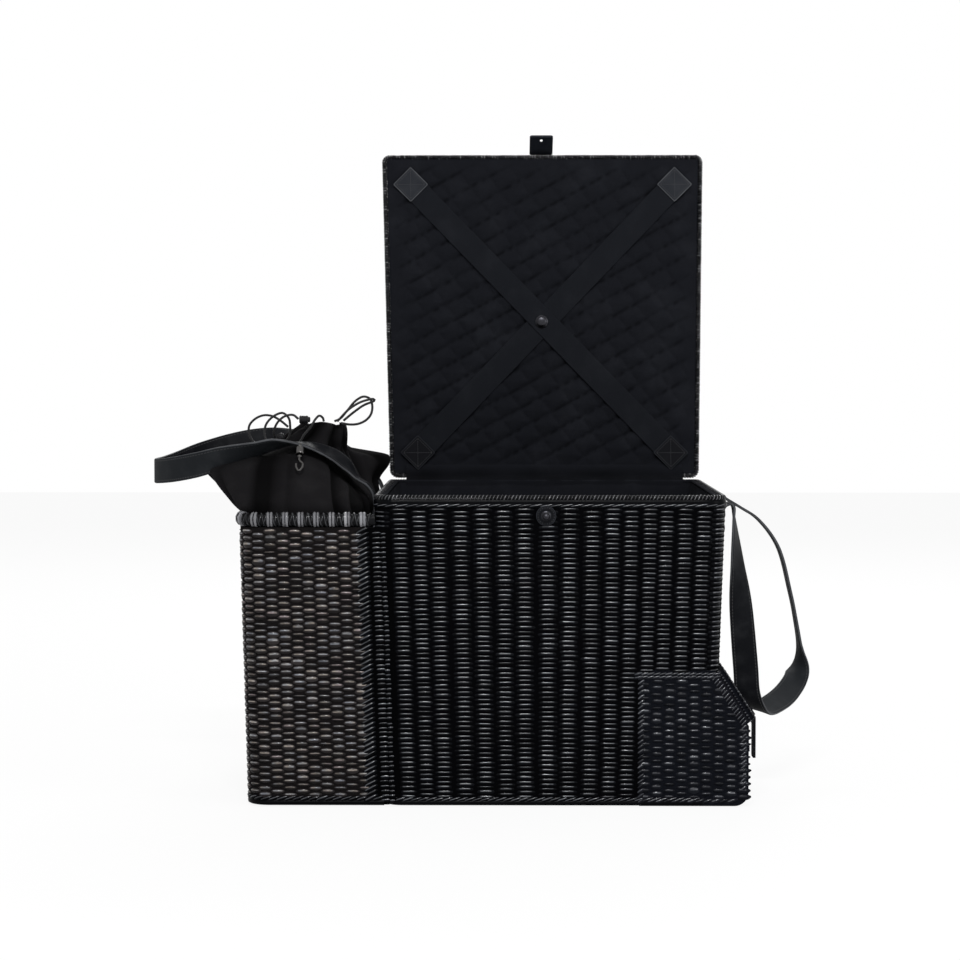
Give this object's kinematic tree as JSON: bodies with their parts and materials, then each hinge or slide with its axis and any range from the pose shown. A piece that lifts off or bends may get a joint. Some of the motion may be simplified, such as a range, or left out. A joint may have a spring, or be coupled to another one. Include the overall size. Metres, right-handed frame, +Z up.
{
  "type": "picnic basket",
  "caption": "Woven insulated picnic basket with a hinged quilted lid, a bottle basket with a drawstring bag, a small lidded side pocket and leather strap handles.",
  "frame": {"origin": "centre of the main box's footprint, on the ground", "axes": "+X to the right seen from the front, away from the bottle basket; +Y to the back, where the lid is hinged; +Z up"},
  "size_m": [0.7057, 0.3938, 0.6987],
  "materials": {
    "weave": "black woven strands, satin",
    "bottle_weave": "worn dark woven strands",
    "fabric": "smooth black cloth",
    "webbing": "ribbed black webbing",
    "cord": "round braided cord",
    "leather": "black leather with stitching",
    "metal": "satin metal",
    "dark_metal": "dark metal",
    "plastic": "black plastic"
  },
  "bodies": {
    "basket": {"main_basket": "weave", "main_rim": "weave", "main_liner": "fabric", "liner_binding": "fabric", "bottle_basket": "bottle_weave", "bottle_rim": "bottle_weave", "bottle_liner": "fabric", "drawstring_bag": "fabric", "front_stud_patch": "leather", "front_stud": "dark_metal", "pocket_basket": "weave", "pocket_liner": "fabric", "pocket_snap": "dark_metal", "cord_left": "cord", "cord_outer": "cord", "cord_front": "cord", "cord_bow": "cord", "upper_lock_barrel": "plastic", "lower_lock_barrel": "plastic", "right_handle_end_front": "leather", "right_handle_rivet_front_1": "dark_metal", "right_handle_rivet_front_2": "dark_metal", "right_handle_end_back": "leather", "right_handle_rivet_back_1": "dark_metal", "right_handle_rivet_back_2": "dark_metal", "left_handle_end_front": "leather", "left_handle_rivet_front_1": "dark_metal", "left_handle_rivet_front_2": "dark_metal", "left_handle_end_back": "leather", "left_handle_rivet_back_1": "dark_metal", "left_handle_rivet_back_2": "dark_metal"},
    "lid": {"lid_rim": "weave", "lid_panel": "weave", "lid_lining": "fabric", "lid_band_over": "webbing", "lid_band_under": "webbing", "lid_patch_free_left": "leather", "lid_patch_free_right": "leather", "lid_patch_hinge_left": "leather", "lid_patch_hinge_right": "leather", "lid_band_snap": "metal", "lid_tab_root": "leather"},
    "lid_flap": {"lid_tab": "leather"},
    "left_handle": {"left_handle_loop": "leather"},
    "right_handle": {"right_handle_loop": "leather"},
    "pocket_cover": {"pocket_lid": "weave", "pocket_lid_lining": "fabric", "pocket_tab_root": "leather"},
    "pocket_flap": {"pocket_tab": "leather"},
    "clasp": {"clasp_bell": "metal"},
    "clasp_end": {"clasp_hook": "metal"},
    "upper_push": {"upper_lock_button": "plastic"},
    "lower_push": {"lower_lock_button": "plastic"}
  },
  "joints": [
    {"name": "lid_hinge", "type": "hinge", "parent": "basket", "child": "lid", "pos_m": [0, 0.177, 0.3136], "axis": [1, 0, 0], "range_deg": [0, 92]},
    {"name": "lid_tab_bend", "type": "hinge", "parent": "lid", "child": "lid_flap", "pos_m": [-0.004, 0.20437, 0.68052], "axis": [1, 0, 0], "range_deg": [-68, 22]},
    {"name": "left_handle_lift", "type": "hinge", "parent": "basket", "child": "left_handle", "pos_m": [-0.197, 0, 0.326], "axis": [0, 1, 0], "range_deg": [0, 70]},
    {"name": "right_handle_lift", "type": "hinge", "parent": "basket", "child": "right_handle", "pos_m": [0.191, 0, 0.3005], "axis": [-0.0444, -0.9986, 0.0277], "range_deg": [0, 140]},
    {"name": "pocket_lid_hinge", "type": "hinge", "parent": "basket", "child": "pocket_cover", "pos_m": [0.1724, -0.1346, 0.1405], "axis": [0, -1, 0], "range_deg": [0, 115]},
    {"name": "pocket_tab_bend", "type": "hinge", "parent": "pocket_cover", "child": "pocket_flap", "pos_m": [0.2073, -0.1346, 0.0881], "axis": [0, -1, 0], "range_deg": [0, 90]},
    {"name": "clasp_swing", "type": "hinge", "parent": "left_handle", "child": "clasp", "pos_m": [-0.254, -0.1059, 0.3622], "axis": [-1, 0, 0], "range_deg": [0, 80]},
    {"name": "clasp_swivel", "type": "hinge", "parent": "clasp", "child": "clasp_end", "pos_m": [-0.254, -0.1059, 0.3622], "axis": [0, -0.6293, -0.7771], "continuous": true},
    {"name": "upper_lock_push", "type": "slide", "parent": "basket", "child": "upper_push", "axis": [-1, 0, 0], "range_m": [0, 0.0014], "stiffness_N_per_m": 150, "springref_m": -0.001},
    {"name": "lower_lock_push", "type": "slide", "parent": "basket", "child": "lower_push", "axis": [0, 1, 0], "range_m": [0, 0.0014], "stiffness_N_per_m": 150, "springref_m": -0.001}
  ]
}
